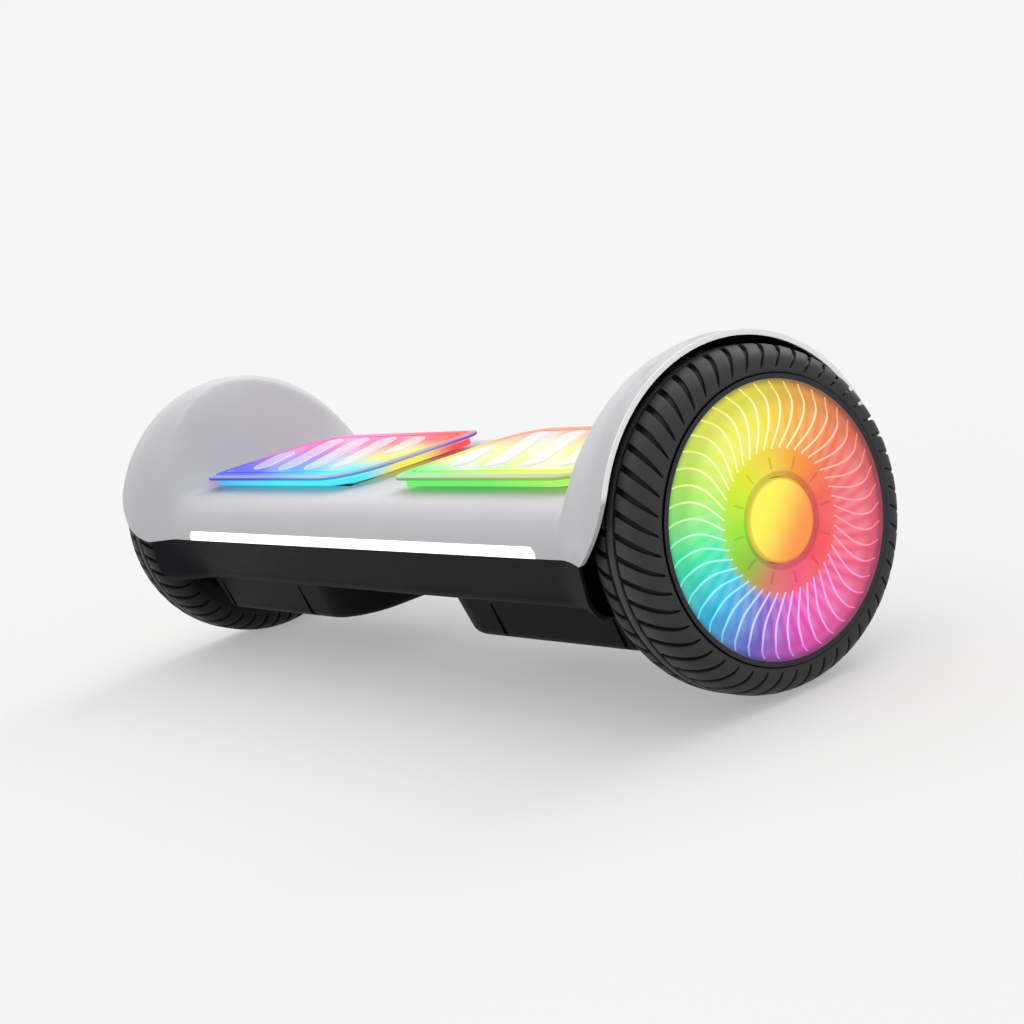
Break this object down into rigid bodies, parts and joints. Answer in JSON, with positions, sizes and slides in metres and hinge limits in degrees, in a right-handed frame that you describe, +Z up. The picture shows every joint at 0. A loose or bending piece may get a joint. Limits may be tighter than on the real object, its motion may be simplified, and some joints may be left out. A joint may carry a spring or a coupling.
{
  "type": "self balancing hoverboard",
  "caption": "Two-wheeled self balancing board with hub motor wheels under flared fenders, two lit rocking foot decks and a front light bar.",
  "frame": {"origin": "on the floor, midway between the wheels, under the axle", "axes": "+X along the wheel axle to the rider's right wheel, -Y to the front with the light bar, +Z up"},
  "size_m": [0.58, 0.18, 0.1756],
  "materials": {
    "white_shell": "satin white moulding",
    "charcoal_shell": "fine moulded texture",
    "pod_plastic": "fine moulded texture",
    "liner_black": "matt black",
    "light_bar": "frosted, lit white",
    "circuit_board": "solder mask",
    "zinc_steel": "zinc plated",
    "frame_steel": "black powder coat",
    "black_rubber": "matt",
    "port_black": "satin",
    "battery_wrap": "shrink wrap",
    "cast_aluminium": "as cast",
    "lead_sheath": "satin",
    "black_screw": "black oxide",
    "stator_steel": "laminated, copper wound",
    "tyre_rubber": "matt",
    "rim_aluminium": "black painted casting",
    "magnet_steel": "nickel",
    "bearing_steel": "ground",
    "wheel_light": "frosted, lit in colours",
    "clear_lens": "clear polycarbonate",
    "cap_light": "frosted, lit",
    "clear_deck": "clear polycarbonate",
    "clear_grip": "clear soft plastic",
    "deck_light": "frosted, lit in colours",
    "deck_carrier": "glass filled nylon",
    "button_plastic": "satin"
  },
  "bodies": {
    "chassis": {"chassis_frame": "frame_steel", "top_shell": "white_shell", "bottom_shell": "charcoal_shell", "battery_cover": "pod_plastic", "controller_cover": "pod_plastic", "front_light_lens": "light_bar", "front_light_board": "circuit_board", "clamp_bolts": "zinc_steel", "deck_pins": "zinc_steel", "deck_stops": "black_rubber", "charge_port": "port_black", "battery_pack": "battery_wrap", "control_board": "circuit_board", "heat_sink": "cast_aluminium", "battery_lead": "lead_sheath", "charge_lead": "lead_sheath", "shell_screws": "black_screw", "pod_screws": "black_screw", "left_arch_liner": "liner_black", "left_axle": "zinc_steel", "left_axle_clamp": "cast_aluminium", "left_motor_lead": "lead_sheath", "left_stator": "stator_steel", "right_arch_liner": "liner_black", "right_axle": "zinc_steel", "right_axle_clamp": "cast_aluminium", "right_motor_lead": "lead_sheath", "right_stator": "stator_steel"},
    "left_wheel": {"left_tyre": "tyre_rubber", "left_rim": "rim_aluminium", "left_inner_cover": "rim_aluminium", "left_cover_screws": "zinc_steel", "left_magnet_ring": "magnet_steel", "left_bearings": "bearing_steel", "left_light_board": "circuit_board", "left_light_disc": "wheel_light", "left_lens": "clear_lens", "left_hub_cap": "cap_light"},
    "left_deck": {"left_deck_plate": "clear_deck", "left_light_guide": "deck_light", "left_deck_board": "circuit_board", "left_deck_base": "deck_carrier", "left_deck_grips": "clear_grip"},
    "right_wheel": {"right_tyre": "tyre_rubber", "right_rim": "rim_aluminium", "right_inner_cover": "rim_aluminium", "right_cover_screws": "zinc_steel", "right_magnet_ring": "magnet_steel", "right_bearings": "bearing_steel", "right_light_board": "circuit_board", "right_light_disc": "wheel_light", "right_lens": "clear_lens", "right_hub_cap": "cap_light"},
    "right_deck": {"right_deck_plate": "clear_deck", "right_light_guide": "deck_light", "right_deck_board": "circuit_board", "right_deck_base": "deck_carrier", "right_deck_grips": "clear_grip"},
    "power_button": {"power_button": "button_plastic"},
    "port_cover": {"charge_port_cover": "black_rubber"}
  },
  "joints": [
    {"name": "left_wheel_spin", "type": "hinge", "parent": "chassis", "child": "left_wheel", "pos_m": [-0.2635, 0, 0.084], "axis": [1, 0, 0], "continuous": true},
    {"name": "right_wheel_spin", "type": "hinge", "parent": "chassis", "child": "right_wheel", "pos_m": [0.2635, 0, 0.084], "axis": [1, 0, 0], "continuous": true},
    {"name": "left_deck_rock", "type": "hinge", "parent": "chassis", "child": "left_deck", "pos_m": [-0.11825, 0, 0.097], "axis": [1, 0, 0], "range_deg": [-1, 1], "stiffness_Nm_per_rad": 60},
    {"name": "right_deck_rock", "type": "hinge", "parent": "chassis", "child": "right_deck", "pos_m": [0.11825, 0, 0.097], "axis": [1, 0, 0], "range_deg": [-1, 1], "stiffness_Nm_per_rad": 60},
    {"name": "power_button_press", "type": "slide", "parent": "chassis", "child": "power_button", "axis": [0, -0.917, 0.399], "range_m": [0, 0.0015], "stiffness_N_per_m": 1500},
    {"name": "port_cover_open", "type": "hinge", "parent": "chassis", "child": "port_cover", "pos_m": [-0.038, 0.07853, 0.08259], "axis": [1, 0, 0], "range_deg": [0, 100]}
  ]
}
